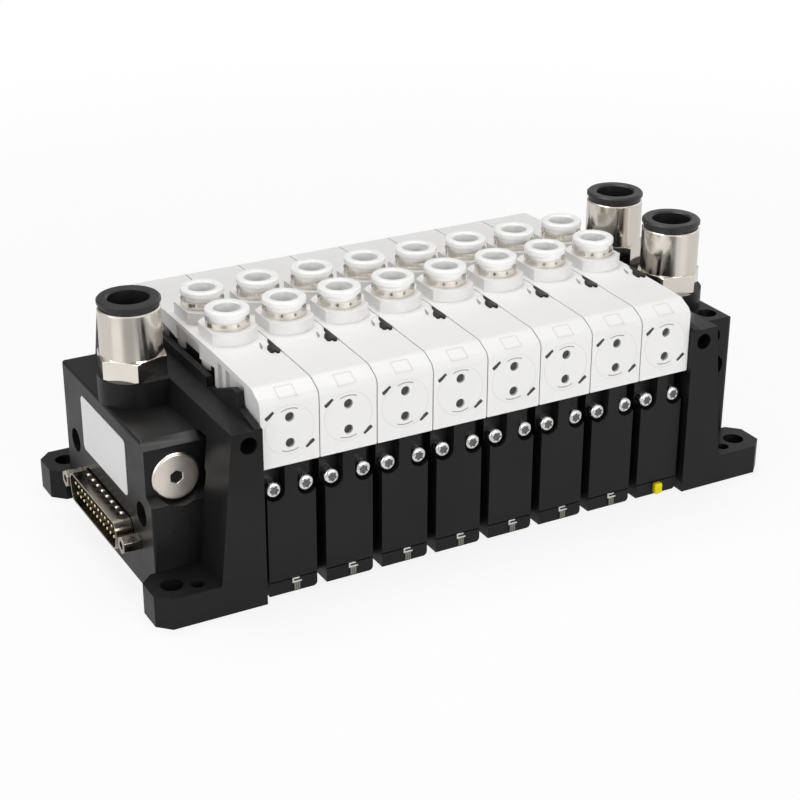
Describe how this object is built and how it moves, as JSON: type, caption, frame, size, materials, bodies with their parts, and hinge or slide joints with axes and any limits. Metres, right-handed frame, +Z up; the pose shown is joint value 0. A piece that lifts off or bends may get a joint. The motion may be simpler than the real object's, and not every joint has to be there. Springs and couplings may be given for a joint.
{
  "type": "pneumatic valve island",
  "caption": "Row of pneumatic valve stations with push-in outlets on top, manual overrides in front, and end plates with feet, supply fittings and a plug connector.",
  "frame": {"origin": "middle of the footprint, on the surface that the feet stand on", "axes": "+X along the row of stations towards the end with two supply fittings, +Y away from the side with the manual overrides, +Z up"},
  "size_m": [0.2088, 0.1034, 0.0777],
  "materials": {
    "white_plastic": "fine matt moulded",
    "black_plastic": "satin moulded",
    "collet_white": "smooth",
    "collet_black": "smooth",
    "override_grey": "smooth",
    "spool_metal": "turned",
    "seal_rubber": "matt",
    "nickel": "nickel plated, satin",
    "screw_steel": "plated",
    "connector_tin": "tin plated",
    "gold_contact": "plated",
    "yellow_plastic": "smooth",
    "label_film": "semi-gloss film"
  },
  "bodies": {
    "frame": {"valve_housings": "white_plastic", "manifold_bases": "black_plastic", "station_seals": "seal_rubber", "outlet_cartridges": "nickel", "valve_screws": "screw_steel", "base_latches": "screw_steel", "yellow_latch": "yellow_plastic", "left_end_plate": "black_plastic", "right_end_plate": "black_plastic", "supply_fittings": "nickel", "tie_rods": "screw_steel", "port_plug": "nickel", "connector_shell": "connector_tin", "connector_insulator": "black_plastic", "connector_pins": "gold_contact", "jack_screws": "connector_tin", "blank_label": "label_film"},
    "front_collet_1": {"front_collet_1": "collet_white"},
    "front_collet_2": {"front_collet_2": "collet_white"},
    "front_collet_3": {"front_collet_3": "collet_white"},
    "front_collet_4": {"front_collet_4": "collet_white"},
    "front_collet_5": {"front_collet_5": "collet_white"},
    "front_collet_6": {"front_collet_6": "collet_white"},
    "front_collet_7": {"front_collet_7": "collet_white"},
    "front_collet_8": {"front_collet_8": "collet_white"},
    "rear_collet_1": {"rear_collet_1": "collet_white"},
    "rear_collet_2": {"rear_collet_2": "collet_white"},
    "rear_collet_3": {"rear_collet_3": "collet_white"},
    "rear_collet_4": {"rear_collet_4": "collet_white"},
    "rear_collet_5": {"rear_collet_5": "collet_white"},
    "rear_collet_6": {"rear_collet_6": "collet_white"},
    "rear_collet_7": {"rear_collet_7": "collet_white"},
    "rear_collet_8": {"rear_collet_8": "collet_white"},
    "supply_collet_1": {"supply_collet_1": "collet_black"},
    "supply_collet_2": {"supply_collet_2": "collet_black"},
    "supply_collet_3": {"supply_collet_3": "collet_black"},
    "upper_override_1": {"upper_override_1": "override_grey"},
    "upper_override_2": {"upper_override_2": "override_grey"},
    "upper_override_3": {"upper_override_3": "override_grey"},
    "upper_override_4": {"upper_override_4": "override_grey"},
    "upper_override_5": {"upper_override_5": "override_grey"},
    "upper_override_6": {"upper_override_6": "override_grey"},
    "upper_override_7": {"upper_override_7": "override_grey"},
    "upper_override_8": {"upper_override_8": "override_grey"},
    "lower_override_1": {"lower_override_1": "override_grey"},
    "lower_override_2": {"lower_override_2": "override_grey"},
    "lower_override_3": {"lower_override_3": "override_grey"},
    "lower_override_4": {"lower_override_4": "override_grey"},
    "lower_override_5": {"lower_override_5": "override_grey"},
    "lower_override_6": {"lower_override_6": "override_grey"},
    "lower_override_7": {"lower_override_7": "override_grey"},
    "lower_override_8": {"lower_override_8": "override_grey"},
    "spool_1": {"spool_1": "spool_metal"},
    "spool_2": {"spool_2": "spool_metal"},
    "spool_3": {"spool_3": "spool_metal"},
    "spool_4": {"spool_4": "spool_metal"},
    "spool_5": {"spool_5": "spool_metal"},
    "spool_6": {"spool_6": "spool_metal"},
    "spool_7": {"spool_7": "spool_metal"},
    "spool_8": {"spool_8": "spool_metal"}
  },
  "joints": [
    {"name": "front_collet_1_slide", "type": "slide", "parent": "frame", "child": "front_collet_1", "axis": [0, 0, -1], "range_m": [0, 0.0011], "stiffness_N_per_m": 500, "springref_m": -0.002},
    {"name": "front_collet_2_slide", "type": "slide", "parent": "frame", "child": "front_collet_2", "axis": [0, 0, -1], "range_m": [0, 0.0011], "stiffness_N_per_m": 500, "springref_m": -0.002},
    {"name": "front_collet_3_slide", "type": "slide", "parent": "frame", "child": "front_collet_3", "axis": [0, 0, -1], "range_m": [0, 0.0011], "stiffness_N_per_m": 500, "springref_m": -0.002},
    {"name": "front_collet_4_slide", "type": "slide", "parent": "frame", "child": "front_collet_4", "axis": [0, 0, -1], "range_m": [0, 0.0011], "stiffness_N_per_m": 500, "springref_m": -0.002},
    {"name": "front_collet_5_slide", "type": "slide", "parent": "frame", "child": "front_collet_5", "axis": [0, 0, -1], "range_m": [0, 0.0011], "stiffness_N_per_m": 500, "springref_m": -0.002},
    {"name": "front_collet_6_slide", "type": "slide", "parent": "frame", "child": "front_collet_6", "axis": [0, 0, -1], "range_m": [0, 0.0011], "stiffness_N_per_m": 500, "springref_m": -0.002},
    {"name": "front_collet_7_slide", "type": "slide", "parent": "frame", "child": "front_collet_7", "axis": [0, 0, -1], "range_m": [0, 0.0011], "stiffness_N_per_m": 500, "springref_m": -0.002},
    {"name": "front_collet_8_slide", "type": "slide", "parent": "frame", "child": "front_collet_8", "axis": [0, 0, -1], "range_m": [0, 0.0011], "stiffness_N_per_m": 500, "springref_m": -0.002},
    {"name": "rear_collet_1_slide", "type": "slide", "parent": "frame", "child": "rear_collet_1", "axis": [0, 0, -1], "range_m": [0, 0.0011], "stiffness_N_per_m": 500, "springref_m": -0.002},
    {"name": "rear_collet_2_slide", "type": "slide", "parent": "frame", "child": "rear_collet_2", "axis": [0, 0, -1], "range_m": [0, 0.0011], "stiffness_N_per_m": 500, "springref_m": -0.002},
    {"name": "rear_collet_3_slide", "type": "slide", "parent": "frame", "child": "rear_collet_3", "axis": [0, 0, -1], "range_m": [0, 0.0011], "stiffness_N_per_m": 500, "springref_m": -0.002},
    {"name": "rear_collet_4_slide", "type": "slide", "parent": "frame", "child": "rear_collet_4", "axis": [0, 0, -1], "range_m": [0, 0.0011], "stiffness_N_per_m": 500, "springref_m": -0.002},
    {"name": "rear_collet_5_slide", "type": "slide", "parent": "frame", "child": "rear_collet_5", "axis": [0, 0, -1], "range_m": [0, 0.0011], "stiffness_N_per_m": 500, "springref_m": -0.002},
    {"name": "rear_collet_6_slide", "type": "slide", "parent": "frame", "child": "rear_collet_6", "axis": [0, 0, -1], "range_m": [0, 0.0011], "stiffness_N_per_m": 500, "springref_m": -0.002},
    {"name": "rear_collet_7_slide", "type": "slide", "parent": "frame", "child": "rear_collet_7", "axis": [0, 0, -1], "range_m": [0, 0.0011], "stiffness_N_per_m": 500, "springref_m": -0.002},
    {"name": "rear_collet_8_slide", "type": "slide", "parent": "frame", "child": "rear_collet_8", "axis": [0, 0, -1], "range_m": [0, 0.0011], "stiffness_N_per_m": 500, "springref_m": -0.002},
    {"name": "supply_collet_1_slide", "type": "slide", "parent": "frame", "child": "supply_collet_1", "axis": [0, 0, -1], "range_m": [0, 0.0013], "stiffness_N_per_m": 800, "springref_m": -0.002},
    {"name": "supply_collet_2_slide", "type": "slide", "parent": "frame", "child": "supply_collet_2", "axis": [0, 0, -1], "range_m": [0, 0.0013], "stiffness_N_per_m": 800, "springref_m": -0.002},
    {"name": "supply_collet_3_slide", "type": "slide", "parent": "frame", "child": "supply_collet_3", "axis": [0, 0, -1], "range_m": [0, 0.0013], "stiffness_N_per_m": 800, "springref_m": -0.002},
    {"name": "upper_override_1_slide", "type": "slide", "parent": "frame", "child": "upper_override_1", "axis": [0, 1, 0], "range_m": [0, 0.0012], "stiffness_N_per_m": 500, "springref_m": -0.002},
    {"name": "upper_override_2_slide", "type": "slide", "parent": "frame", "child": "upper_override_2", "axis": [0, 1, 0], "range_m": [0, 0.0012], "stiffness_N_per_m": 500, "springref_m": -0.002},
    {"name": "upper_override_3_slide", "type": "slide", "parent": "frame", "child": "upper_override_3", "axis": [0, 1, 0], "range_m": [0, 0.0012], "stiffness_N_per_m": 500, "springref_m": -0.002},
    {"name": "upper_override_4_slide", "type": "slide", "parent": "frame", "child": "upper_override_4", "axis": [0, 1, 0], "range_m": [0, 0.0012], "stiffness_N_per_m": 500, "springref_m": -0.002},
    {"name": "upper_override_5_slide", "type": "slide", "parent": "frame", "child": "upper_override_5", "axis": [0, 1, 0], "range_m": [0, 0.0012], "stiffness_N_per_m": 500, "springref_m": -0.002},
    {"name": "upper_override_6_slide", "type": "slide", "parent": "frame", "child": "upper_override_6", "axis": [0, 1, 0], "range_m": [0, 0.0012], "stiffness_N_per_m": 500, "springref_m": -0.002},
    {"name": "upper_override_7_slide", "type": "slide", "parent": "frame", "child": "upper_override_7", "axis": [0, 1, 0], "range_m": [0, 0.0012], "stiffness_N_per_m": 500, "springref_m": -0.002},
    {"name": "upper_override_8_slide", "type": "slide", "parent": "frame", "child": "upper_override_8", "axis": [0, 1, 0], "range_m": [0, 0.0012], "stiffness_N_per_m": 500, "springref_m": -0.002},
    {"name": "lower_override_1_slide", "type": "slide", "parent": "frame", "child": "lower_override_1", "axis": [0, 1, 0], "range_m": [0, 0.0012], "stiffness_N_per_m": 500, "springref_m": -0.002},
    {"name": "lower_override_2_slide", "type": "slide", "parent": "frame", "child": "lower_override_2", "axis": [0, 1, 0], "range_m": [0, 0.0012], "stiffness_N_per_m": 500, "springref_m": -0.002},
    {"name": "lower_override_3_slide", "type": "slide", "parent": "frame", "child": "lower_override_3", "axis": [0, 1, 0], "range_m": [0, 0.0012], "stiffness_N_per_m": 500, "springref_m": -0.002},
    {"name": "lower_override_4_slide", "type": "slide", "parent": "frame", "child": "lower_override_4", "axis": [0, 1, 0], "range_m": [0, 0.0012], "stiffness_N_per_m": 500, "springref_m": -0.002},
    {"name": "lower_override_5_slide", "type": "slide", "parent": "frame", "child": "lower_override_5", "axis": [0, 1, 0], "range_m": [0, 0.0012], "stiffness_N_per_m": 500, "springref_m": -0.002},
    {"name": "lower_override_6_slide", "type": "slide", "parent": "frame", "child": "lower_override_6", "axis": [0, 1, 0], "range_m": [0, 0.0012], "stiffness_N_per_m": 500, "springref_m": -0.002},
    {"name": "lower_override_7_slide", "type": "slide", "parent": "frame", "child": "lower_override_7", "axis": [0, 1, 0], "range_m": [0, 0.0012], "stiffness_N_per_m": 500, "springref_m": -0.002},
    {"name": "lower_override_8_slide", "type": "slide", "parent": "frame", "child": "lower_override_8", "axis": [0, 1, 0], "range_m": [0, 0.0012], "stiffness_N_per_m": 500, "springref_m": -0.002},
    {"name": "spool_1_slide", "type": "slide", "parent": "frame", "child": "spool_1", "axis": [0, 1, 0], "range_m": [0, 0.004]},
    {"name": "spool_2_slide", "type": "slide", "parent": "frame", "child": "spool_2", "axis": [0, 1, 0], "range_m": [0, 0.004]},
    {"name": "spool_3_slide", "type": "slide", "parent": "frame", "child": "spool_3", "axis": [0, 1, 0], "range_m": [0, 0.004]},
    {"name": "spool_4_slide", "type": "slide", "parent": "frame", "child": "spool_4", "axis": [0, 1, 0], "range_m": [0, 0.004]},
    {"name": "spool_5_slide", "type": "slide", "parent": "frame", "child": "spool_5", "axis": [0, 1, 0], "range_m": [0, 0.004]},
    {"name": "spool_6_slide", "type": "slide", "parent": "frame", "child": "spool_6", "axis": [0, 1, 0], "range_m": [0, 0.004]},
    {"name": "spool_7_slide", "type": "slide", "parent": "frame", "child": "spool_7", "axis": [0, 1, 0], "range_m": [0, 0.004]},
    {"name": "spool_8_slide", "type": "slide", "parent": "frame", "child": "spool_8", "axis": [0, 1, 0], "range_m": [0, 0.004]}
  ]
}
